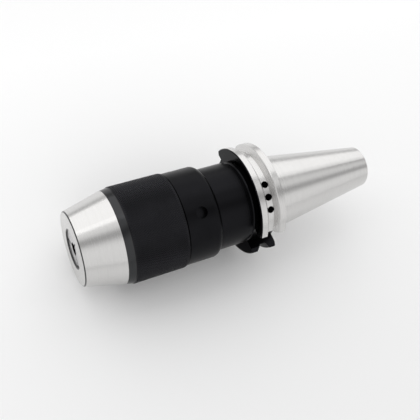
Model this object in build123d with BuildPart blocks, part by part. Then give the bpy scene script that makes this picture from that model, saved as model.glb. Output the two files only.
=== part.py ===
from build123d import *
from math import cos, radians, sin, sqrt, tan
import os

# Self-tightening drill chuck with an integral 7/24 taper shank and gripper flange.
# Frame: origin at the centre of the taper's gauge circle, +X along the axis towards the
# small end of the taper, drive slots on +Y and -Y. The nose points along -X.
# Axial stations are distances from the gauge plane towards the nose, in millimetres.

# 40-size taper and flange
gauge_r = 44.45 / 2
taper_len = 68.4
taper_slope = 7 / 48
taper_end_r = gauge_r - taper_len * taper_slope
taper_chamfer = 1.0
flange_rear = 3.2
flange_front = 19.1
flange_r = 63.55 / 2
flange_rear_chamfer = 0.6
flange_front_chamfer = 0.5
undercut_rear = 0.4
undercut_r = gauge_r - 0.8
groove_mid = 11.1
groove_half_top = 3.8
groove_half_bottom = 1.7
groove_bottom_r = 56.25 / 2
groove_edge = 0.3
slot_width = 16.1
slot_floor_shallow = 25.0
slot_floor_deep = 22.8
slot_flare = 2.0
balance_hole_r = 2.0
balance_hole_depth = 6.0
balance_hole_pitch = 14.7
balance_hole_mid = 118.7
pull_stud_r = 14.0 / 2
pull_stud_depth = 32.0
pull_stud_pilot_r = 17.0 / 2
pull_stud_pilot_depth = 8.0
coolant_r = 3.4
plug_r = 4.0
plug_rear = 7.0
plug_socket_r = 2.3
plug_socket_depth = 3.0

# neck, spigot and screw bore of the shank
neck_r = 24.1
neck_front = 44.0
relief_r = 23.1
relief_front = 22.3
relief_fillet = 0.6
spigot_r = 16.5
spigot_front = 61.0
spigot_chamfer = 0.6
screw_bore_rear = 13.0
screw_r = 9.0
running_gap = 0.08

# thrust bearing
preload_front = 44.9
preload_in_r = 17.2
preload_out_r = 23.4
preload_thickness = 0.6
ring_web_rear = 45.1
ring_web_front = 47.1
race_thickness = 2.0
race_groove = 0.4
ball_r = 2.25
ball_count = 18
ball_pitch_r = 19.5
ball_gap = 0.1
rear_race_front = ring_web_front + race_thickness
ball_mid = rear_race_front - race_groove + ball_r
front_race_rear = ball_mid + ball_r - race_groove
collar_rear = front_race_rear + race_thickness
collar_front = 59.2
bearing_bore_r = 22.4
cage_half = 1.2
cage_in_r = 17.0
cage_out_r = 22.0
collar_out_r = 21.8
collar_notch_count = 4
collar_notch = 3.0
collar_notch_depth = 1.5
collar_screw_angles = (45, 165, 285)
collar_screw_r = 1.25
collar_screw_socket_r = 0.7
collar_screw_tip = 0.8

# rear ring
ring_rear = 39.8
ring_shoulder = 43.0
ring_front = 60.2
ring_r = 26.8
ring_tail_r = 24.7
ring_neck_gap = 0.1
ring_spigot_r = 25.4
ring_spigot_front = 64.4
ring_edge = 0.3
spanner_hole_r = 3.25
spanner_hole_depth = 3.4
spanner_hole_mid = 50.8
spanner_hole_angle = 114.2
spanner_hole_count = 4
seal_rear = 42.0
seal_front = 43.8
seal_out_r = 25.3
seal_gap = 0.05

# knurled sleeve
sleeve_rear = 60.5
sleeve_front = 95.6
sleeve_r = 27.5
sleeve_edge = 0.4
bevel_rear = 91.6
bevel_rear_r = 27.0
bevel_front_r = 26.45
knurl_step = 0.5
sleeve_thread_front = 66.0
sleeve_bore_r = 24.6

# nose hood
nose_front = 117.4
nose_r = 20.85
nose_base_r = 26.5
nose_edge = 0.4
nose_slope = (nose_base_r - nose_r) / (nose_front - sleeve_front)
hood_rear = 78.0
hood_spigot_r = 24.55
cone_angle = 14.6
cone_slope = tan(radians(cone_angle))
mouth_r = 10.5
mouth_edge_r = 11.4
mouth_edge_depth = 0.7
hood_seal_mid = 89.5
hood_seal_r = 0.7
hood_seal_groove = 1.3
fit_gap = 0.05

# jaws, guide and holder
jaw_angles = (35, 155, 275)
jaw_face_angle = 60
jaw_width = 15.5
jaw_side_gap = 0.1
jaw_rear = 93.0
jaw_front = 116.65
land_closed_r = 1.5
tip_relief_r = 3.6
tip_relief_depth = 1.2
land_tip = 1.0
open_by = 0.4
land_tip_half_width = 1.0
nib_half_width = 3.7
jaw_edge = 0.15
jaw_cone_gap = 0.08
foot_rear = 87.2
foot_front = 90.2
foot_half_width = 5.5
foot_neck_half_width = 3.45
foot_in_r = 5.2
foot_out_r = 12.6
foot_gap = 0.1
holder_rear = 84.9
holder_front = 92.9
holder_r = 14.5
holder_slot_in_r = 5.0
guide_rear = 61.5
guide_slot_rear = 63.9
guide_tail_r = 22.2
guide_shoulder = 77.9
guide_bore_front = 94.9
guide_front = 116.1
screw_rear = 38.7
screw_tip_chamfer = 1.0
holder_screw_r = 2.5
holder_screw_head_r = 4.4
holder_screw_depth = 16.0
holder_screw_socket_r = 1.7
holder_screw_socket_depth = 1.8

reach = 40.0


def hood_cone_r(station):
    """Radius of the hood's inner cone at a station."""
    return mouth_r + (nose_front - station) * cone_slope


def finish_piece(piece, name):
    """Name the piece and write it."""
    piece.part.label = name
    export_step(piece.part, f"parts/{name}.step")


os.makedirs("parts", exist_ok=True)

# x runs towards the nose and y is the radius
half_plane = Plane(origin=(0, 0, 0), x_dir=(-1, 0, 0), z_dir=(0, 1, 0))


# ---- taper shank: taper, flange, neck and spigot in one piece ----
with BuildPart() as taper_shank:
    with BuildSketch(half_plane):
        with BuildLine():
            Polyline(
                (-taper_len, 0),
                (-taper_len, taper_end_r - taper_chamfer),
                (-taper_len + taper_chamfer, taper_end_r + taper_chamfer * taper_slope),
                (0, gauge_r),
                (undercut_rear, undercut_r),
                (flange_rear, undercut_r),
                (flange_rear, flange_r - flange_rear_chamfer),
                (flange_rear + flange_rear_chamfer, flange_r),
                (groove_mid - groove_half_top - groove_edge, flange_r),
                (groove_mid - groove_half_top, flange_r - groove_edge),
                (groove_mid - groove_half_bottom, groove_bottom_r),
                (groove_mid + groove_half_bottom, groove_bottom_r),
                (groove_mid + groove_half_top, flange_r - groove_edge),
                (groove_mid + groove_half_top + groove_edge, flange_r),
                (flange_front - flange_front_chamfer, flange_r),
                (flange_front, flange_r - flange_front_chamfer),
                (flange_front, relief_r + relief_fillet),
                (flange_front + relief_fillet, relief_r),
                (relief_front - relief_fillet, relief_r),
                (relief_front, neck_r),
                (neck_front, neck_r),
                (neck_front, spigot_r),
                (spigot_front - spigot_chamfer, spigot_r),
                (spigot_front, spigot_r - spigot_chamfer),
                (spigot_front, 0),
                close=True,
            )
        make_face()
    revolve(axis=Axis.X)
    # drive slots, flared at the rim
    for side, floor in ((1, slot_floor_shallow), (-1, slot_floor_deep)):
        rim = sqrt(flange_r**2 - (slot_width / 2 + slot_flare) ** 2)
        with BuildSketch(Plane.YZ.offset(-flange_front)):
            with BuildLine():
                Polyline(
                    (side * floor, slot_width / 2),
                    (side * (rim - slot_flare), slot_width / 2),
                    (side * rim, slot_width / 2 + slot_flare),
                    (side * reach, slot_width / 2 + slot_flare),
                    (side * reach, -slot_width / 2 - slot_flare),
                    (side * rim, -slot_width / 2 - slot_flare),
                    (side * (rim - slot_flare), -slot_width / 2),
                    (side * floor, -slot_width / 2),
                    close=True,
                )
            make_face()
        extrude(amount=flange_front - flange_rear, mode=Mode.SUBTRACT)
    # blind balance holes in the groove
    for step in (-1, 0, 1):
        turn = radians(balance_hole_mid + step * balance_hole_pitch)
        out = Vector(0, cos(turn), sin(turn))
        mouth = Plane(origin=Vector(-groove_mid, 0, 0) + out * flange_r, z_dir=out)
        with BuildSketch(mouth):
            Circle(balance_hole_r)
        extrude(amount=-(flange_r - groove_bottom_r + balance_hole_depth), mode=Mode.SUBTRACT)
    # screw bore, coolant passage and pull-stud thread
    with BuildSketch(half_plane):
        with BuildLine():
            Polyline(
                (-taper_len, 0),
                (-taper_len, pull_stud_pilot_r),
                (-taper_len + pull_stud_pilot_depth, pull_stud_pilot_r),
                (-taper_len + pull_stud_pilot_depth, pull_stud_r),
                (-taper_len + pull_stud_depth, pull_stud_r),
                (-taper_len + pull_stud_depth, coolant_r),
                (plug_rear, coolant_r),
                (plug_rear, plug_r),
                (screw_bore_rear, plug_r),
                (screw_bore_rear, screw_r + running_gap),
                (spigot_front, screw_r + running_gap),
                (spigot_front, 0),
                close=True,
            )
        make_face()
    revolve(axis=Axis.X, mode=Mode.SUBTRACT)
finish_piece(taper_shank, "taper_shank")


# ---- bore plug: grub screw between the coolant passage and the screw bore ----
with BuildPart() as bore_plug:
    with BuildSketch(Plane.YZ.offset(-screw_bore_rear)):
        Circle(plug_r)
    extrude(amount=screw_bore_rear - plug_rear)
    with BuildSketch(Plane.YZ.offset(-screw_bore_rear)):
        RegularPolygon(plug_socket_r, 6)
    extrude(amount=plug_socket_depth, mode=Mode.SUBTRACT)
finish_piece(bore_plug, "bore_plug")


# ---- preload washer: coned spring between the neck shoulder and the rear ring's web ----
with BuildPart() as preload_washer:
    with BuildSketch(half_plane):
        with BuildLine():
            Polyline(
                (neck_front, preload_out_r),
                (neck_front + preload_thickness, preload_out_r),
                (preload_front, preload_in_r),
                (preload_front - preload_thickness, preload_in_r),
                close=True,
            )
        make_face()
    revolve(axis=Axis.X)
finish_piece(preload_washer, "preload_washer")


# ---- ball bearing: races, cage and balls ----
with BuildPart() as rear_race:
    with BuildSketch(half_plane):
        with BuildLine():
            Polyline(
                (ring_web_front, spigot_r + 2 * ball_gap),
                (ring_web_front, bearing_bore_r - ball_gap),
                (rear_race_front, bearing_bore_r - ball_gap),
                (rear_race_front, spigot_r + 2 * ball_gap),
                close=True,
            )
        make_face()
        with Locations((ball_mid, ball_pitch_r)):
            Circle(ball_r + ball_gap, mode=Mode.SUBTRACT)
    revolve(axis=Axis.X)
finish_piece(rear_race, "rear_race")

with BuildPart() as front_race:
    with BuildSketch(half_plane):
        with BuildLine():
            Polyline(
                (front_race_rear, spigot_r),
                (front_race_rear, collar_out_r),
                (collar_rear, collar_out_r),
                (collar_rear, spigot_r),
                close=True,
            )
        make_face()
        with Locations((ball_mid, ball_pitch_r)):
            Circle(ball_r + ball_gap, mode=Mode.SUBTRACT)
    revolve(axis=Axis.X)
finish_piece(front_race, "front_race")

with BuildPart() as ball_cage:
    with BuildSketch(Plane.YZ.offset(-ball_mid - cage_half)):
        Circle(cage_out_r)
        Circle(cage_in_r, mode=Mode.SUBTRACT)
        with PolarLocations(ball_pitch_r, ball_count):
            Circle(ball_r + ball_gap, mode=Mode.SUBTRACT)
    extrude(amount=2 * cage_half)
finish_piece(ball_cage, "ball_cage")

with BuildPart() as bearing_balls:
    with Locations(Plane.YZ.offset(-ball_mid)):
        with PolarLocations(ball_pitch_r, ball_count):
            Sphere(ball_r)
finish_piece(bearing_balls, "bearing_balls")


# ---- thrust collar on the spigot, with face notches for a pin wrench ----
with BuildPart() as thrust_collar:
    with BuildSketch(Plane.YZ.offset(-collar_front)):
        Circle(collar_out_r)
        Circle(spigot_r, mode=Mode.SUBTRACT)
    extrude(amount=collar_front - collar_rear)
    with BuildSketch(Plane.YZ.offset(-collar_front)):
        with PolarLocations(collar_out_r, collar_notch_count):
            Rectangle(2 * collar_notch, collar_notch)
    extrude(amount=collar_notch_depth, mode=Mode.SUBTRACT)
    for turn in collar_screw_angles:
        out = Vector(0, cos(radians(turn)), sin(radians(turn)))
        mid = Vector(-(collar_rear + collar_front - collar_notch_depth) / 2, 0, 0)
        with BuildSketch(Plane(origin=mid + out * reach, z_dir=out)):
            Circle(collar_screw_r)
        extrude(amount=-(reach - spigot_r), mode=Mode.SUBTRACT)
finish_piece(thrust_collar, "thrust_collar")

with BuildPart() as collar_lock_screws:
    for turn in collar_screw_angles:
        out = Vector(0, cos(radians(turn)), sin(radians(turn)))
        mid = Vector(-(collar_rear + collar_front - collar_notch_depth) / 2, 0, 0)
        top = Plane(origin=mid + out * (collar_out_r - collar_screw_tip), z_dir=out)
        with BuildSketch(top):
            Circle(collar_screw_r)
        extrude(amount=-(collar_out_r - collar_screw_tip - spigot_r))
        with BuildSketch(top):
            RegularPolygon(collar_screw_socket_r, 6)
        extrude(amount=-2 * collar_screw_socket_r, mode=Mode.SUBTRACT)
finish_piece(collar_lock_screws, "collar_lock_screws")


# ---- rear ring: web behind the bearing, spigot screwed into the sleeve ----
with BuildPart() as rear_ring:
    with BuildSketch(half_plane):
        with BuildLine():
            TangentArc((ring_shoulder, ring_r), (ring_rear, ring_tail_r), tangent=(-1, 0))
            Polyline(
                (ring_shoulder, ring_r),
                (ring_front - ring_edge, ring_r),
                (ring_front, ring_r - ring_edge),
                (ring_front, ring_spigot_r),
                (ring_spigot_front, ring_spigot_r),
                (ring_spigot_front, bearing_bore_r),
                (ring_web_front, bearing_bore_r),
                (ring_web_front, spigot_r + running_gap),
                (ring_web_rear, spigot_r + running_gap),
                (ring_web_rear, neck_r + ring_neck_gap),
                (seal_front, neck_r + ring_neck_gap),
                (seal_front, seal_out_r),
                (seal_rear, seal_out_r),
                (seal_rear, neck_r + ring_neck_gap),
                (ring_rear, neck_r + ring_neck_gap),
                (ring_rear, ring_tail_r),
            )
        make_face()
    revolve(axis=Axis.X)
    for step in range(spanner_hole_count):
        turn = radians(spanner_hole_angle + step * 360 / spanner_hole_count)
        out = Vector(0, cos(turn), sin(turn))
        mouth = Plane(origin=Vector(-spanner_hole_mid, 0, 0) + out * reach, z_dir=out)
        with BuildSketch(mouth):
            Circle(spanner_hole_r)
        extrude(amount=-(reach - ring_r + spanner_hole_depth), mode=Mode.SUBTRACT)
finish_piece(rear_ring, "rear_ring")

with BuildPart() as dust_seal:
    with BuildSketch(half_plane):
        with BuildLine():
            Polyline(
                (seal_rear, neck_r + seal_gap),
                (seal_rear, seal_out_r),
                (seal_front, seal_out_r),
                (seal_front, neck_r + seal_gap),
                close=True,
            )
        make_face()
    revolve(axis=Axis.X)
finish_piece(dust_seal, "dust_seal")


# ---- knurled sleeve: grip body with a smooth front bevel ----
with BuildPart() as knurled_sleeve:
    with BuildSketch(half_plane):
        with BuildLine():
            Polyline(
                (sleeve_rear, ring_spigot_r + fit_gap),
                (sleeve_rear, sleeve_r - sleeve_edge),
                (sleeve_rear + sleeve_edge, sleeve_r),
                (bevel_rear - knurl_step, sleeve_r),
                (bevel_rear, bevel_rear_r),
                (sleeve_front, bevel_front_r),
                (sleeve_front, sleeve_bore_r),
                (sleeve_thread_front, sleeve_bore_r),
                (sleeve_thread_front, ring_spigot_r + fit_gap),
                close=True,
            )
        make_face()
    revolve(axis=Axis.X)
finish_piece(knurled_sleeve, "knurled_sleeve")


# ---- nose hood: outer nose cone, inner jaw cone, spigot held in the sleeve ----
with BuildPart() as nose_hood:
    with BuildSketch(half_plane):
        with BuildLine():
            Polyline(
                (hood_rear, hood_cone_r(hood_rear)),
                (hood_rear, hood_spigot_r),
                (hood_seal_mid - hood_seal_r, hood_spigot_r),
                (hood_seal_mid - hood_seal_r, hood_spigot_r - hood_seal_groove),
                (hood_seal_mid + hood_seal_r, hood_spigot_r - hood_seal_groove),
                (hood_seal_mid + hood_seal_r, hood_spigot_r),
                (sleeve_front + fit_gap, hood_spigot_r),
                (sleeve_front + fit_gap, nose_base_r),
                (nose_front - nose_edge, nose_r + nose_edge * nose_slope),
                (nose_front, nose_r - nose_edge),
                (nose_front, mouth_edge_r),
                (nose_front - mouth_edge_depth, hood_cone_r(nose_front - mouth_edge_depth)),
                close=True,
            )
        make_face()
    revolve(axis=Axis.X)
finish_piece(nose_hood, "nose_hood")

with BuildPart() as hood_seal:
    with BuildSketch(half_plane):
        with Locations((hood_seal_mid, hood_spigot_r - hood_seal_groove + hood_seal_r)):
            Circle(hood_seal_r - fit_gap)
    revolve(axis=Axis.X)
finish_piece(hood_seal, "hood_seal")


# ---- jaw guide: three fingers joined by a tail ring ----
with BuildPart() as jaw_guide:
    with BuildSketch(half_plane):
        with BuildLine():
            Polyline(
                (guide_rear, holder_r + foot_gap),
                (guide_rear, guide_tail_r),
                (ring_spigot_front + fit_gap, guide_tail_r),
                (ring_spigot_front + fit_gap, hood_spigot_r),
                (guide_shoulder, hood_spigot_r),
                (guide_shoulder, hood_cone_r(guide_shoulder) - 2 * fit_gap),
                (guide_front, hood_cone_r(guide_front) - 2 * fit_gap),
                (guide_front, 0),
                (guide_bore_front, 0),
                (guide_bore_front, holder_r + foot_gap),
                close=True,
            )
        make_face()
    revolve(axis=Axis.X)
    for angle in jaw_angles:
        with BuildSketch(Plane.YZ.offset(-guide_front)):
            with Locations(Rotation(0, 0, angle)):
                Rectangle(reach, jaw_width + 2 * jaw_side_gap, align=(Align.MIN, Align.CENTER))
        extrude(amount=guide_front - guide_slot_rear, mode=Mode.SUBTRACT)
finish_piece(jaw_guide, "jaw_guide")


# ---- jaws: each a third of one cone, slid back along the hood's cone from fully closed ----
back_by = open_by / cone_slope
land_r = land_closed_r + open_by
land_front = jaw_front - tip_relief_depth - (tip_relief_r - land_r)
face_slope = tan(radians(jaw_face_angle))
side_inset = jaw_side_gap / cos(radians(jaw_face_angle))
corner_x = (jaw_width / 2 + side_inset) / face_slope
nib_x = (nib_half_width + side_inset) / face_slope

for number, angle in enumerate(jaw_angles, start=1):
    out = Vector(0, cos(radians(angle)), sin(radians(angle)))
    slide = Vector(back_by, 0, 0) + out * open_by
    jaw_half_plane = Plane(origin=slide, x_dir=(-1, 0, 0), z_dir=(0, 1, 0))
    closed_front = jaw_front + back_by
    closed_rear = jaw_rear + back_by
    with BuildPart() as jaw:
        with BuildSketch(jaw_half_plane):
            with BuildLine():
                Polyline(
                    (closed_rear, 0),
                    (closed_rear, hood_cone_r(closed_rear) - jaw_cone_gap),
                    (closed_front - jaw_edge, hood_cone_r(closed_front - jaw_edge) - jaw_cone_gap),
                    (closed_front, hood_cone_r(closed_front) - jaw_cone_gap - jaw_edge),
                    (closed_front, 0),
                    close=True,
                )
            make_face()
        revolve(axis=Axis(slide, (1, 0, 0)))
        # wedge with flat sides that run in the guide
        with BuildSketch(Plane(origin=slide - Vector(closed_front, 0, 0), x_dir=out, z_dir=(1, 0, 0))):
            with BuildLine():
                Polyline(
                    (land_tip, land_tip_half_width),
                    (nib_x, nib_half_width),
                    (corner_x, jaw_width / 2),
                    (reach, jaw_width / 2),
                    (reach, -jaw_width / 2),
                    (corner_x, -jaw_width / 2),
                    (nib_x, -nib_half_width),
                    (land_tip, -land_tip_half_width),
                    close=True,
                )
            make_face()
        extrude(amount=closed_front - closed_rear, mode=Mode.INTERSECT)
        # T-foot behind the jaw
        with BuildSketch(Plane(origin=slide - Vector(closed_rear, 0, 0), x_dir=out, z_dir=(1, 0, 0))):
            with Locations((foot_in_r, 0)):
                Rectangle(
                    foot_out_r - foot_in_r, 2 * foot_neck_half_width, align=(Align.MIN, Align.CENTER)
                )
        extrude(amount=jaw_rear - foot_front)
        foot_origin = slide - Vector(foot_front + back_by, 0, 0)
        with BuildSketch(Plane(origin=foot_origin, x_dir=out, z_dir=(1, 0, 0))):
            with Locations((foot_in_r, 0)):
                Rectangle(foot_out_r - foot_in_r, 2 * foot_half_width, align=(Align.MIN, Align.CENTER))
        extrude(amount=foot_front - foot_rear)
        # gripping land, ground to the radius that the jaws hold at rest, with a wider relief at the nose
        with BuildSketch(half_plane):
            with BuildLine():
                Polyline(
                    (jaw_rear, 0),
                    (jaw_rear, land_r),
                    (land_front, land_r),
                    (jaw_front - tip_relief_depth, tip_relief_r),
                    (jaw_front, tip_relief_r),
                    (jaw_front, 0),
                    close=True,
                )
            make_face()
        revolve(axis=Axis.X, mode=Mode.SUBTRACT)
    finish_piece(jaw, f"jaw_{number}")


# ---- jaw holder: three radial T-slots for the jaws' feet ----
with BuildPart() as jaw_holder:
    with BuildSketch(Plane.YZ.offset(-holder_front)):
        Circle(holder_r)
    extrude(amount=holder_front - holder_rear)
    for angle in jaw_angles:
        with BuildSketch(Plane.YZ.offset(-holder_front)):
            with Locations(Rotation(0, 0, angle)):
                with Locations((holder_slot_in_r, 0)):
                    Rectangle(
                        reach, 2 * (foot_neck_half_width + foot_gap), align=(Align.MIN, Align.CENTER)
                    )
        extrude(amount=holder_front - foot_front, mode=Mode.SUBTRACT)
        with BuildSketch(Plane.YZ.offset(-foot_front - foot_gap)):
            with Locations(Rotation(0, 0, angle)):
                with Locations((holder_slot_in_r, 0)):
                    Rectangle(reach, 2 * (foot_half_width + foot_gap), align=(Align.MIN, Align.CENTER))
        extrude(amount=foot_front - foot_rear + 2 * foot_gap, mode=Mode.SUBTRACT)
    with BuildSketch(half_plane):
        with BuildLine():
            Polyline(
                (holder_rear, 0),
                (holder_rear, holder_screw_r),
                (holder_front - (holder_screw_head_r - holder_screw_r), holder_screw_r),
                (holder_front, holder_screw_head_r),
                (holder_front, 0),
                close=True,
            )
        make_face()
    revolve(axis=Axis.X, mode=Mode.SUBTRACT)
finish_piece(jaw_holder, "jaw_holder")

with BuildPart() as holder_screw:
    with BuildSketch(half_plane):
        with BuildLine():
            Polyline(
                (holder_rear - holder_screw_depth, 0),
                (holder_rear - holder_screw_depth, holder_screw_r),
                (holder_front - (holder_screw_head_r - holder_screw_r), holder_screw_r),
                (holder_front, holder_screw_head_r),
                (holder_front, 0),
                close=True,
            )
        make_face()
    revolve(axis=Axis.X)
    with BuildSketch(Plane.YZ.offset(-holder_front)):
        RegularPolygon(holder_screw_socket_r, 6)
    extrude(amount=holder_screw_socket_depth, mode=Mode.SUBTRACT)
finish_piece(holder_screw, "holder_screw")


# ---- drive screw: left-hand screw, drawn at its outside diameter ----
with BuildPart() as drive_screw:
    with BuildSketch(half_plane):
        with BuildLine():
            Polyline(
                (screw_rear, 0),
                (screw_rear, screw_r - screw_tip_chamfer),
                (screw_rear + screw_tip_chamfer, screw_r),
                (holder_rear, screw_r),
                (holder_rear, holder_screw_r),
                (holder_rear - holder_screw_depth, holder_screw_r),
                (holder_rear - holder_screw_depth, 0),
                close=True,
            )
        make_face()
    revolve(axis=Axis.X)
finish_piece(drive_screw, "drive_screw")
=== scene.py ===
"""Looks for the drill chuck: ground steel nose and taper, black oxide body, knurled grip sleeve.

Metres in the frame's own axes: +X along the axis towards the taper, nose towards -X. A station is
the distance from the gauge plane towards the nose, in millimetres, and a radius is taken round X.
"""

from math import cos, pi, radians, sin

import bpy
from mathutils import Matrix, Vector


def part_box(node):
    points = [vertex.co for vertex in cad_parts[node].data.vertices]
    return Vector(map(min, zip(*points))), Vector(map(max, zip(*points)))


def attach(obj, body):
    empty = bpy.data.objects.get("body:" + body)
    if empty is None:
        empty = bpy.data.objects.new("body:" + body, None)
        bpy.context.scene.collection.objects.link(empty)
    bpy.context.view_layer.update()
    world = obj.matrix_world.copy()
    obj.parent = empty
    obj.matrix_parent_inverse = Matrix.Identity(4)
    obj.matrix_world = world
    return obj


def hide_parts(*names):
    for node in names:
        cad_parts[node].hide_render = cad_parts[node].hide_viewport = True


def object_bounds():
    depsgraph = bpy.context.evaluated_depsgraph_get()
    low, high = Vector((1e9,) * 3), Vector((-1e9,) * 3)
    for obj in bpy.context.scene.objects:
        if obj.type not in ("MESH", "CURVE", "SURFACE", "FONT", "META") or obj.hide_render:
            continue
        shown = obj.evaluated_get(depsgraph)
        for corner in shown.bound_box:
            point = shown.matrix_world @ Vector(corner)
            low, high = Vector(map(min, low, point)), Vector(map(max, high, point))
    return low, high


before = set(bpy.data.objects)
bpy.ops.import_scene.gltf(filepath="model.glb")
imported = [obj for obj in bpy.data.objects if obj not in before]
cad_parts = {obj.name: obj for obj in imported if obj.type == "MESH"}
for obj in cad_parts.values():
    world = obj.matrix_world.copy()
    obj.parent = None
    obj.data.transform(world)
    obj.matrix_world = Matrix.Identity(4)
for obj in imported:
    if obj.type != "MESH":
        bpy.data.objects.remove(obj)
cad_low, cad_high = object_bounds()

MM = 0.001
SHARP_ANGLE = radians(35)


# ---------------------------------------------------------------- camera
LENS_MM, SENSOR_MM = 57.49, 36.0
CAMERA_PLACE = (-0.17625, -0.14094, 0.33205)
CAMERA_FORWARD = Vector((0.36327, 0.36272, -0.85817))
CAMERA_UP = Vector((0.26236, 0.84399, 0.46780))


def make_camera():
    """Above and in front of the nose, rolled so that the chuck lies across the picture."""
    data = bpy.data.cameras.new("camera")
    data.sensor_width = SENSOR_MM
    data.lens = LENS_MM
    data.clip_start = 0.01
    data.clip_end = 50.0
    camera = bpy.data.objects.new("camera", data)
    bpy.context.collection.objects.link(camera)
    forward = CAMERA_FORWARD.normalized()
    right = forward.cross(CAMERA_UP).normalized()
    up = right.cross(forward)
    turn = Matrix((right, up, -forward)).transposed().to_4x4()
    camera.matrix_world = Matrix.Translation(CAMERA_PLACE) @ turn
    bpy.context.scene.camera = camera


# ---------------------------------------------------------------- studio
# The surround's angle is 0 towards the card and 90 degrees towards the window. The window's X part
# tilts the card a little, so that it runs slightly across the chuck.
CARD = Vector((0.0, -0.391, 0.9205))
WINDOW = Vector((0.23, 0.9205, 0.391))
# (degrees, brightness)
SURROUND = (
    (-180, 0.50), (-75, 0.92), (-25, 0.99), (-15, 0.92), (-6, 0.55), (1, 0.36), (8, 0.48), (18, 0.98),
    (33, 0.92), (44, 0.38), (95, 0.38), (108, 0.66), (180, 0.50),
)


def make_world():
    """Studio surround, graded by the angle round an axis a little off X, with one dark card overhead."""
    world = bpy.data.worlds.new("studio")
    bpy.context.scene.world = world
    world.use_nodes = True
    nodes, links = world.node_tree.nodes, world.node_tree.links
    nodes.clear()
    coordinates = nodes.new("ShaderNodeTexCoord")
    angle = nodes.new("ShaderNodeMath")
    angle.operation = "ARCTAN2"
    for socket, direction in zip(angle.inputs, (WINDOW, CARD)):
        dot = nodes.new("ShaderNodeVectorMath")
        dot.operation = "DOT_PRODUCT"
        dot.inputs[1].default_value = direction
        links.new(coordinates.outputs["Generated"], dot.inputs[0])
        links.new(dot.outputs["Value"], socket)
    spread = nodes.new("ShaderNodeMapRange")
    spread.inputs["From Min"].default_value = -pi
    spread.inputs["From Max"].default_value = pi
    links.new(angle.outputs[0], spread.inputs[0])
    ramp = nodes.new("ShaderNodeValToRGB")
    links.new(spread.outputs[0], ramp.inputs[0])
    stops = ramp.color_ramp.elements
    while len(stops) < len(SURROUND):
        stops.new(1.0)
    for stop, (degrees, level) in zip(stops, SURROUND):
        stop.position = (degrees + 180) / 360
        stop.color = (level, level, level, 1)
    background = nodes.new("ShaderNodeBackground")
    links.new(ramp.outputs[0], background.inputs["Color"])
    output = nodes.new("ShaderNodeOutputWorld")
    links.new(background.outputs[0], output.inputs[0])


def add_softbox(name, direction, distance, width, height, radiance):
    """Rectangular area light with its long side along X, facing the object's middle."""
    data = bpy.data.lights.new(name, "AREA")
    data.shape = "RECTANGLE"
    data.size = width
    data.size_y = height
    data.energy = radiance * pi * width * height
    lamp = bpy.data.objects.new(name, data)
    bpy.context.collection.objects.link(lamp)
    back = Vector(direction).normalized()
    side = Vector((1, 0, 0))
    turn = Matrix((side, back.cross(side), back)).transposed().to_4x4()
    lamp.matrix_world = Matrix.Translation((cad_low + cad_high) / 2 + back * distance) @ turn


def make_floor():
    """Plain pale floor that the chuck lies on, touching the flange and the grip sleeve.

    It is painted darker towards +Y, a painted shade on the floor, where only the steel and the other views
    see it.
    """
    half = 6.0
    flange_x = -18.6 * MM
    fade_from, fade_to = 0.15, 0.55
    pale, darker = 0.93, 0.62
    grip_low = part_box("knurled_sleeve")[0]
    rise = (grip_low.z - cad_low.z) / (flange_x - grip_low.x)
    mesh = bpy.data.meshes.new("floor")
    sides = ((-half, -half), (half, -half), (half, half), (-half, half))
    corners = [(x, y, cad_low.z + rise * (flange_x - x)) for x, y in sides]
    mesh.from_pydata(corners, [], [(0, 1, 2, 3)])
    floor = bpy.data.objects.new("floor", mesh)
    bpy.context.collection.objects.link(floor)
    material = bpy.data.materials.new("floor_white")
    material.use_nodes = True
    nodes, links = material.node_tree.nodes, material.node_tree.links
    shader = nodes["Principled BSDF"]
    shader.inputs["Roughness"].default_value = 0.9
    shader.inputs["Specular IOR Level"].default_value = 0.0
    split = nodes.new("ShaderNodeSeparateXYZ")
    # painted shade: the floor's colour fades from pale near the chuck to darker towards +Y
    fade = nodes.new("ShaderNodeMapRange")
    fade.inputs["From Min"].default_value = fade_from
    fade.inputs["From Max"].default_value = fade_to
    fade.inputs["To Min"].default_value = pale
    fade.inputs["To Max"].default_value = darker
    links.new(nodes.new("ShaderNodeTexCoord").outputs["Object"], split.inputs[0])
    links.new(split.outputs["Y"], fade.inputs[0])
    links.new(fade.outputs[0], shader.inputs["Base Color"])
    mesh.materials.append(material)


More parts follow.
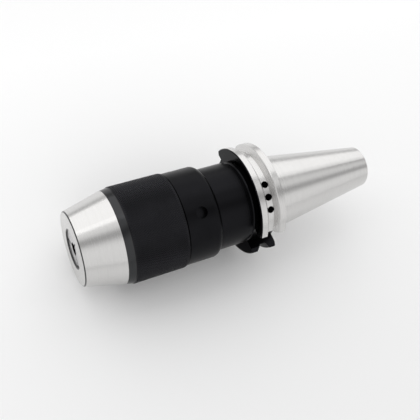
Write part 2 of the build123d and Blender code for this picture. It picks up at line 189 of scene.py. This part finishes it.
# ---------------------------------------------------------------- node trees
class Surface:
    """A material's node tree, with the shaded point's place in millimetres and short calls for nodes.

    side and height are Y and Z with their sign, and y and z are the same without it.
    """

    def __init__(self, name):
        self.material = bpy.data.materials.new(name)
        self.material.use_nodes = True
        self.tree = self.material.node_tree
        self.shader = self.tree.nodes["Principled BSDF"]
        self.place = self.add("ShaderNodeTexCoord").outputs["Object"]
        split = self.add("ShaderNodeSeparateXYZ")
        self.tree.links.new(self.place, split.inputs[0])
        x, y, z = (self.math("MULTIPLY", value, 1 / MM) for value in split.outputs)
        self.station = self.math("MULTIPLY", x, -1)
        self.side, self.height = y, z
        self.y = self.math("ABSOLUTE", y)
        self.z = self.math("ABSOLUTE", z)
        self.radius = self.length(y, z)

    def add(self, kind, **settings):
        node = self.tree.nodes.new(kind)
        for key, value in settings.items():
            setattr(node, key, value)
        return node

    def feed(self, socket, value):
        """Link a node's output into a socket, or set the socket to a number or colour."""
        if isinstance(value, bpy.types.NodeSocket):
            self.tree.links.new(value, socket)
        elif isinstance(value, tuple) and len(value) == 3 and len(socket.default_value) == 4:
            socket.default_value = (*value, 1.0)
        else:
            socket.default_value = value

    def set(self, name, value):
        self.feed(self.shader.inputs[name], value)

    def math(self, operation, first, second=0.0):
        node = self.add("ShaderNodeMath", operation=operation)
        for socket, value in zip(node.inputs, (first, second)):
            self.feed(socket, value)
        return node.outputs[0]

    def length(self, first, second):
        squares = (self.math("MULTIPLY", value, value) for value in (first, second))
        return self.math("SQRT", self.math("ADD", *squares))

    def spread(self, value, low, high, low_out=0.0, high_out=1.0):
        """value from low..high onto low_out..high_out, held at the ends."""
        node = self.add("ShaderNodeMapRange", clamp=True)
        for socket, number in zip(node.inputs, (value, low, high, low_out, high_out)):
            self.feed(socket, number)
        return node.outputs[0]

    def beyond(self, value, edge, soft=0.02):
        """1 where value is over the edge, 0 where it is under."""
        return self.spread(value, edge - soft, edge + soft)

    def short_of(self, value, edge, soft=0.02):
        """1 where value is under the edge, 0 where it is over."""
        return self.spread(value, edge - soft, edge + soft, 1.0, 0.0)

    def between(self, rear, front):
        """1 where the station is from rear to front, 0 elsewhere."""
        return self.both(self.beyond(self.station, rear), self.short_of(self.station, front))

    def both(self, *masks):
        result = masks[0]
        for mask in masks[1:]:
            result = self.math("MULTIPLY", result, mask)
        return result

    def either(self, *masks):
        result = masks[0]
        for mask in masks[1:]:
            result = self.math("MAXIMUM", result, mask)
        return result

    def near_edge(self, station, radius, width):
        """1 on the circle at this station and radius, fading to 0 at width from it."""
        across = self.math("SUBTRACT", self.station, station)
        away = self.math("SUBTRACT", self.radius, radius)
        return self.spread(self.length(across, away), 0.0, width, 1.0, 0.0)

    def mix(self, mask, first, second):
        """The first colour where the mask is 0, the second where it is 1."""
        node = self.add("ShaderNodeMix", data_type="RGBA")
        self.feed(node.inputs[0], mask)
        self.feed(node.inputs[6], first)
        self.feed(node.inputs[7], second)
        return node.outputs[2]

    def blend(self, mask, first, second):
        """The first number where the mask is 0, the second where it is 1."""
        node = self.add("ShaderNodeMix", data_type="FLOAT")
        self.feed(node.inputs[0], mask)
        self.feed(node.inputs[2], first)
        self.feed(node.inputs[3], second)
        return node.outputs[0]

    def noise(self, size, detail=3.0):
        """Noise with features of this size in millimetres, 0 to 1."""
        node = self.add("ShaderNodeTexNoise")
        node.inputs["Scale"].default_value = 1 / (size * MM)
        node.inputs["Detail"].default_value = detail
        node.inputs["Roughness"].default_value = 0.55
        self.feed(node.inputs["Vector"], self.place)
        return node.outputs["Fac"]

    def turning(self, pitch):
        """Rings round the X axis, as a lathe or grinding wheel leaves them, 0 to 1.

        A share of the radius is added to the station, so that faces square to the axis get rings too.
        """
        radius_share = 0.731
        along = self.math("ADD", self.station, self.math("MULTIPLY", self.radius, radius_share))
        node = self.add("ShaderNodeTexNoise", noise_dimensions="1D")
        node.inputs["Scale"].default_value = 1.0
        node.inputs["Detail"].default_value = 3.0
        node.inputs["Roughness"].default_value = 0.65
        self.feed(node.inputs["W"], self.math("MULTIPLY", along, 1 / pitch))
        return node.outputs["Fac"]

    def mottled(self, broad, cloud, dark, light):
        """Colour from dark to light, by the mean of broad rings and a cloud."""
        halves = (self.math("MULTIPLY", value, 0.5) for value in (broad, cloud))
        return self.mix(self.spread(self.math("ADD", *halves), 0.3, 0.7), dark, light)

    def paint_over(self, mask, colour):
        """Lay this colour over the base colour where the mask is 1."""
        under = self.shader.inputs["Base Color"].links[0].from_socket
        self.set("Base Color", self.mix(mask, under, colour))

    def bump(self, height, depth):
        """Bump from a 0 to 1 height, this many micrometres deep."""
        node = self.add("ShaderNodeBump")
        node.inputs["Distance"].default_value = depth * 1e-6
        self.feed(node.inputs["Height"], height)
        self.set("Normal", node.outputs[0])

    def ring_grain(self, amount):
        """Highlights drawn out along the axis, across the turning marks."""
        tangent = self.add("ShaderNodeTangent", direction_type="RADIAL", axis="X")
        self.set("Tangent", tangent.outputs[0])
        self.set("Anisotropic", amount)
        self.set("Anisotropic Rotation", 0.25)


# ---------------------------------------------------------------- materials
OXIDE = (0.0125, 0.0125, 0.0140)
OXIDE_THIN = (0.045, 0.043, 0.042)
OXIDE_SHEEN = (0.048, 0.049, 0.051)
OXIDE_TINT = (0.8, 0.8, 0.8)
OXIDE_ROUGH = (0.30, 0.36)
EDGE_SHADE = (0.050, 0.050, 0.052)
JAW_SHADE = (0.020, 0.019, 0.023)
SHEEN_FROM = 91.5
SPANNER_HOLE_FLOOR_R = 23.6


def scaled(colour, factor):
    return tuple(factor * c for c in colour)


def turned_steel(name, colour, roughness, pitch):
    """Turned or ground steel with rings round the axis and a faint cloudiness."""
    swing = 0.03
    made = Surface(name)
    made.set("Metallic", 1.0)
    rings = made.turning(pitch)
    broad = made.turning(9 * pitch)
    cloud = made.noise(14.0, detail=4.0)
    made.set("Base Color", made.mottled(broad, cloud, scaled(colour, 0.95), colour))
    made.set("Roughness", made.spread(rings, 0.25, 0.75, roughness - swing, roughness + swing))
    made.bump(rings, 0.12)
    made.ring_grain(0.5)
    return made


def hood_finish():
    """Fine turned steel, with the edge breaks at the rim of the nose and at the mouth painted black, a
    painted shade.
    """
    rim_station, rim_r = 116.85, 20.33
    mouth_station, mouth_r = 116.68, 11.43
    made = turned_steel("hood_steel", (0.655, 0.648, 0.640), 0.25, 0.22)
    rim = made.both(made.beyond(made.station, rim_station), made.beyond(made.radius, rim_r))
    mouth = made.both(made.beyond(made.station, mouth_station), made.short_of(made.radius, mouth_r))
    # painted shade: the rim's edge break and the shadowed mouth are painted black
    made.paint_over(made.either(rim, mouth), EDGE_SHADE)
    return made.material


def jaw_finish():
    """Jaws with ground front faces; their sides, gripping land and relief are painted dark, a painted
    shade in the slits between the jaws and in the opening between their tips.
    """
    relief_r = 3.63
    made = turned_steel("jaw_steel", (0.60, 0.592, 0.60), 0.26, 0.12)
    split = made.add("ShaderNodeSeparateXYZ")
    made.feed(split.inputs[0], made.add("ShaderNodeNewGeometry").outputs["Normal"])
    sides = made.short_of(made.math("ABSOLUTE", split.outputs["X"]), 0.5)
    # painted shade: the jaws' sides and the faces near the middle are painted dark, for the shade between
    # and behind the tips
    made.paint_over(made.either(sides, made.short_of(made.radius, relief_r)), JAW_SHADE)
    return made.material


def oxide_steel(name, edges=(), lift=1.0, sheen_from=None, lit_floor_r=None):
    """Satin black oxide, a little thinner and browner along the worn edges, given as (station, radius).

    lift makes it lighter than OXIDE by that factor. Past the station given for the sheen, the oxide is
    painted lighter as a painted sheen, and it is shinier. On the floor of the spanner holes, under the
    radius given for it, it is painted a little lighter, painted light where the holes are in shade.
    """
    made = Surface(name)
    made.set("Metallic", 1.0)
    made.set("Specular Tint", OXIDE_TINT)
    cloud = made.noise(9.0, detail=5.0)
    fine = made.noise(0.25, detail=2.0)
    dark, light = scaled(OXIDE, 0.85 * lift), scaled(OXIDE, lift)
    colour = made.mix(made.spread(cloud, 0.35, 0.65), dark, light)
    rough = made.spread(cloud, 0.3, 0.7, *OXIDE_ROUGH)
    if sheen_from:
        # painted sheen: past this station the oxide is painted lighter, and its roughness is lower
        past = made.beyond(made.station, sheen_from)
        colour = made.mix(past, colour, OXIDE_SHEEN)
        rough = made.blend(past, rough, 0.20)
    if lit_floor_r:
        holes_rear, holes_front, ring_bore_r = 47.2, 54.4, 22.6
        floor = made.both(
            made.between(holes_rear, holes_front),
            made.short_of(made.radius, lit_floor_r),
            made.beyond(made.radius, ring_bore_r),
        )
        # painted light: the spanner holes' floor is painted lighter, against the shade in the holes
        colour = made.mix(floor, colour, scaled(OXIDE, 1.4))
    if edges:
        worn_width = 0.35
        worn = made.either(*(made.near_edge(station, radius, worn_width) for station, radius in edges))
        worn = made.both(worn, made.spread(made.noise(1.6), 0.42, 0.62))
        colour = made.mix(worn, colour, OXIDE_THIN)
    made.set("Base Color", colour)
    made.set("Roughness", rough)
    made.bump(fine, 0.6)
    return made.material


def shank_finish():
    """Ground steel taper and turned flange rim, with black oxide left on the rest.

    The oxide runs from the flange's front chamfer to the front of the neck. It is also in the drive
    slots. The balance holes and the groove under the slot on -Y are painted black as painted shade, and
    the groove's front edge is painted darker as a thin line of painted shade. The flange's front face is
    the smoothest, and low on the -Y side its specular tint is lowered, a painted shade in its reflection.
    """
    flange_rear, chamfer_rear, flange_front, face_front, neck_front = 3.3, 18.63, 19.2, 19.3, 44.2
    slot_half, slot_flare, slot_rim, slot_floor = 8.05, 2.0, 30.144, 22.7
    slot_margin, slot_soft = -0.04, 0.01
    groove_rear, groove_front, groove_bottom = 7.3, 14.9, 28.06
    edge_rear, edge_front, edge_shade_share = 14.88, 15.20, 0.8
    shade_below_slot_side, shade_side, shade_height, shade_soft = -21.5, -12.0, -7.0, 0.5
    white, shade_tint = (1.0, 1.0, 1.0), (0.54, 0.54, 0.54)
    glossy_rough = 0.13
    made = Surface("shank_steel")
    made.set("Metallic", 1.0)
    in_flange = made.between(flange_rear, flange_front)
    opening = made.spread(made.y, slot_rim - slot_flare, slot_rim, slot_half, slot_half + slot_flare)
    in_slot = made.beyond(made.math("SUBTRACT", opening, made.z), slot_margin, slot_soft)
    in_slot = made.both(in_flange, in_slot, made.beyond(made.y, slot_floor))
    # painted shade: everything in the flange under the groove's bottom radius, the balance holes included,
    # is painted black
    hole_shade = made.both(in_flange, made.short_of(made.radius, groove_bottom))
    front = made.between(chamfer_rear, neck_front)
    # painted shade: a thin dark band round the groove's front edge, 80 percent of the way to black
    groove_edge_shade = made.math("MULTIPLY", made.between(edge_rear, edge_front), edge_shade_share)
    # painted shade: the groove on the low -Y side, under the slot, is painted black where the floor's
    # shade falls in its reflection
    shade_below_slot = made.both(
        made.between(groove_rear, groove_front),
        made.short_of(made.side, shade_below_slot_side, shade_soft),
        made.short_of(made.height, 0.0),
    )
    black = made.either(front, in_slot, hole_shade, groove_edge_shade, shade_below_slot)
    glossy = made.between(chamfer_rear, face_front)
    # painted shade: the front face low on the -Y side, where it reflects the shaded floor under the chuck
    lower_face_shade = made.both(
        glossy,
        made.short_of(made.side, shade_side, shade_soft),
        made.short_of(made.height, shade_height, shade_soft),
    )

    rings = made.turning(0.16)
    broad = made.turning(1.7)
    cloud = made.noise(16.0, detail=4.0)
    steel = made.mottled(broad, cloud, (0.610, 0.603, 0.595), (0.645, 0.638, 0.630))
    made.set("Base Color", made.mix(black, steel, OXIDE))
    tint = made.mix(black, white, OXIDE_TINT)
    # the lowered specular tint there is a painted shade in the reflection
    made.set("Specular Tint", made.mix(lower_face_shade, tint, shade_tint))
    steel_rough = made.spread(rings, 0.25, 0.75, 0.23, 0.29)
    oxide_rough = made.blend(glossy, made.spread(cloud, 0.3, 0.7, *OXIDE_ROUGH), glossy_rough)
    made.set("Roughness", made.blend(black, steel_rough, oxide_rough))
    made.bump(rings, 0.1)
    made.ring_grain(0.45)
    return made.material


def rubber(name):
    """Matt black nitrile rubber."""
    made = Surface(name)
    grain = made.noise(0.35, detail=3.0)
    made.set("Base Color", made.mix(grain, (0.012, 0.012, 0.012), (0.022, 0.021, 0.020)))
    made.set("Roughness", made.spread(grain, 0.3, 0.7, 0.55, 0.72))
    made.bump(grain, 6.0)
    return made.material


def polished_steel(name, colour, roughness):
    """Lapped bearing steel with hair-fine lines."""
    made = Surface(name)
    made.set("Metallic", 1.0)
    lines = made.turning(0.05)
    smear = made.noise(3.0, detail=4.0)
    made.set("Base Color", made.mix(smear, scaled(colour, 0.93), colour))
    made.set("Roughness", made.spread(lines, 0.3, 0.7, roughness - 0.03, roughness + 0.05))
    made.bump(lines, 0.05)
    return made.material


def paint(material, *nodes):
    """Give CAD nodes one material."""
    for node in nodes:
        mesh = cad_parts[node].data
        mesh.materials.clear()
        mesh.materials.append(material)


# ---------------------------------------------------------------- mesh pieces
def add_piece(name, vertices, faces, smooth, material):
    """Mesh object from points given as (station, radius, turn), flat-shaded where smooth is False."""
    mesh = bpy.data.meshes.new(name)
    points = [(-s * MM, r * MM * cos(turn), r * MM * sin(turn)) for s, r, turn in vertices]
    mesh.from_pydata(points, [], faces)
    mesh.polygons.foreach_set("use_smooth", smooth)
    mesh.set_sharp_from_angle(angle=SHARP_ANGLE)
    mesh.materials.append(material)
    mesh.validate()
    piece = bpy.data.objects.new(name, mesh)
    bpy.context.collection.objects.link(piece)
    return piece


def knurled_grip(material):
    """Grip sleeve with a real diamond knurl: flat-topped diamonds between two sets of crossing grooves."""
    low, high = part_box("knurled_sleeve")
    rear, front = -high.x / MM, -low.x / MM
    crest = high.z / MM
    depth = 0.18
    groove = crest - depth
    count = 144
    row_gap = 1.05
    knurl_rear = rear + 0.45
    knurl_front = front - 4.5
    rows = 2 * round((knurl_front - knurl_rear) / row_gap / 2)
    row_step = (knurl_front - knurl_rear) / rows
    half_turn = pi / count
    top_share = 0.50
    vertices, faces = [], []

    def station(row):
        return knurl_rear + row * row_step

    # groove crossings sit where row + column is even, diamonds where it is odd
    columns = 2 * count
    crossing = {}
    for row in range(rows + 1):
        for column in range(columns):
            if (row + column) % 2 == 0 or row in (0, rows):
                crossing[row, column] = len(vertices)
                vertices.append((station(row), groove, column * half_turn))
    for row in range(1, rows):
        for column in range(columns):
            if (row + column) % 2 == 0:
                continue
            ring = [
                crossing[row - 1, column],
                crossing[row, (column + 1) % columns],
                crossing[row + 1, column],
                crossing[row, (column - 1) % columns],
            ]
            start = len(vertices)
            turn = column * half_turn
            vertices.append((station(row - top_share), crest, turn))
            vertices.append((station(row), crest, turn + top_share * half_turn))
            vertices.append((station(row + top_share), crest, turn))
            vertices.append((station(row), crest, turn - top_share * half_turn))
            top = list(range(start, start + 4))
            faces.append(top)
            faces += [(ring[k], ring[(k + 1) % 4], top[(k + 1) % 4], top[k]) for k in range(4)]
    # half diamonds at both ends stay at groove depth
    for row, inner in ((0, 1), (rows, rows - 1)):
        for column in range(columns):
            if (row + column) % 2 == 1:
                sides = ((row, (column - 1) % columns), (row, column), (row, (column + 1) % columns))
                patch = [crossing[place] for place in (*sides, (inner, column))]
                faces.append(patch if row == rows else patch[::-1])
    smooth = [False] * len(faces)

    # plain surfaces: from the front of the knurl over the bevel, through the bore and back
    edge = 0.25
    bevel_length, bevel_rear_r, bevel_front_r, front_face_r = 4.0, 27.0, 26.485, 26.25
    hood_bore_r, ring_bore_r, ring_bore_depth, ring_lead_in = 24.6, 25.45, 5.5, 0.3
    rear_face_r = 26.9
    outline = [
        (front - bevel_length, bevel_rear_r),
        (front - edge, bevel_front_r),
        (front, front_face_r),
        (front, hood_bore_r + edge),
        (front - edge, hood_bore_r),
        (rear + ring_bore_depth, hood_bore_r),
        (rear + ring_bore_depth, ring_bore_r),
        (rear + ring_lead_in, ring_bore_r),
        (rear, ring_bore_r + edge),
        (rear, rear_face_r),
        (rear + edge, groove),
    ]
    previous = [crossing[rows, column] for column in range(columns)]
    last = [crossing[0, column] for column in range(columns)]
    rings = []
    for s, r in outline:
        start = len(vertices)
        vertices += [(s, r, column * half_turn) for column in range(columns)]
        rings.append(range(start, start + columns))
    for ring in (*rings, last):
        for column in range(columns):
            after = (column + 1) % columns
            faces.append((previous[column], ring[column], ring[after], previous[after]))
        previous = ring
    smooth += [True] * (len(faces) - len(smooth))
    piece = add_piece("grip_sleeve", vertices, faces, smooth, material)
    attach(piece, "sleeve")
    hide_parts("knurled_sleeve")


def threaded_screw(material):
    """Drive screw with its real left-hand thread: a crest-to-root height field wound on a cylinder."""
    low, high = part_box("drive_screw")
    rear, front = -high.x / MM, -low.x / MM
    crest = high.z / MM
    lead, depth = 4.0, 1.15
    crest_half, flank = 0.15, 0.20
    columns, rows_per_lead = 96, 16
    chamfer = 1.0
    socket_r, socket_depth = 2.5, 16.0
    rows = round((front - rear) / lead * rows_per_lead)
    vertices, faces = [], []

    def surface_r(s, turn):
        """Trapezoidal thread: a flat crest, a sloped flank, a flat root and the other flank.

        crest_half and flank are shares of the lead.
        """
        phase = (s / lead - turn / (2 * pi)) % 1.0
        drop = min(max((abs(phase - 0.5) - crest_half) / flank, 0.0), 1.0)
        return min(crest - depth * drop, crest - chamfer + s - rear, crest - chamfer + front - s)

    turns = [2 * pi * column / columns for column in range(columns)]
    for row in range(rows + 1):
        s = rear + (front - rear) * row / rows
        vertices += [(s, surface_r(s, turn), turn) for turn in turns]
    for s, r in ((front, socket_r), (front - socket_depth, socket_r)):
        vertices += [(s, r, turn) for turn in turns]
    rings = rows + 3
    for row in range(rings - 1):
        for column in range(columns):
            here, after = row * columns + column, row * columns + (column + 1) % columns
            faces.append((here, here + columns, after + columns, after))
    faces.append(tuple(range(columns)))
    faces.append(tuple(reversed(range((rings - 1) * columns, rings * columns))))
    smooth = [True] * (len(faces) - 2) + [False] * 2
    piece = add_piece("left_hand_screw", vertices, faces, smooth, material)
    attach(piece, "screw")
    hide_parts("drive_screw")


make_camera()
make_world()
make_floor()
add_softbox("key", direction=(0, 0.72, 0.69), distance=0.80, width=3.00, height=1.04, radiance=1.02)

machined = turned_steel("machined_steel", (0.50, 0.495, 0.49), 0.30, 0.3).material
bearing = polished_steel("bearing_steel", (0.70, 0.70, 0.71), 0.12)
blued = polished_steel("spring_steel", (0.16, 0.18, 0.26), 0.25)
brass = polished_steel("cage_brass", (0.70, 0.50, 0.22), 0.24)
fastener = oxide_steel("fastener_steel")
ring_edges = ((60.2, 26.65),)
ring_oxide = oxide_steel("ring_oxide", edges=ring_edges, lit_floor_r=SPANNER_HOLE_FLOOR_R)
grip_edges = ((60.6, 27.1), (91.6, 27.0), (95.5, 26.4))
grip_oxide = oxide_steel("grip_oxide", edges=grip_edges, lift=1.6, sheen_from=SHEEN_FROM)

paint(hood_finish(), "nose_hood")
paint(shank_finish(), "taper_shank")
paint(ring_oxide, "rear_ring")
paint(jaw_finish(), "jaw_1", "jaw_2", "jaw_3")
paint(machined, "jaw_guide", "jaw_holder", "thrust_collar")
paint(fastener, "holder_screw", "collar_lock_screws", "bore_plug")
paint(bearing, "front_race", "rear_race", "bearing_balls")
paint(brass, "ball_cage")
paint(blued, "preload_washer")
paint(rubber("seal_rubber"), "dust_seal", "hood_seal")
knurled_grip(grip_oxide)
threaded_screw(machined)

bpy.context.scene.view_settings.view_transform = "Standard"
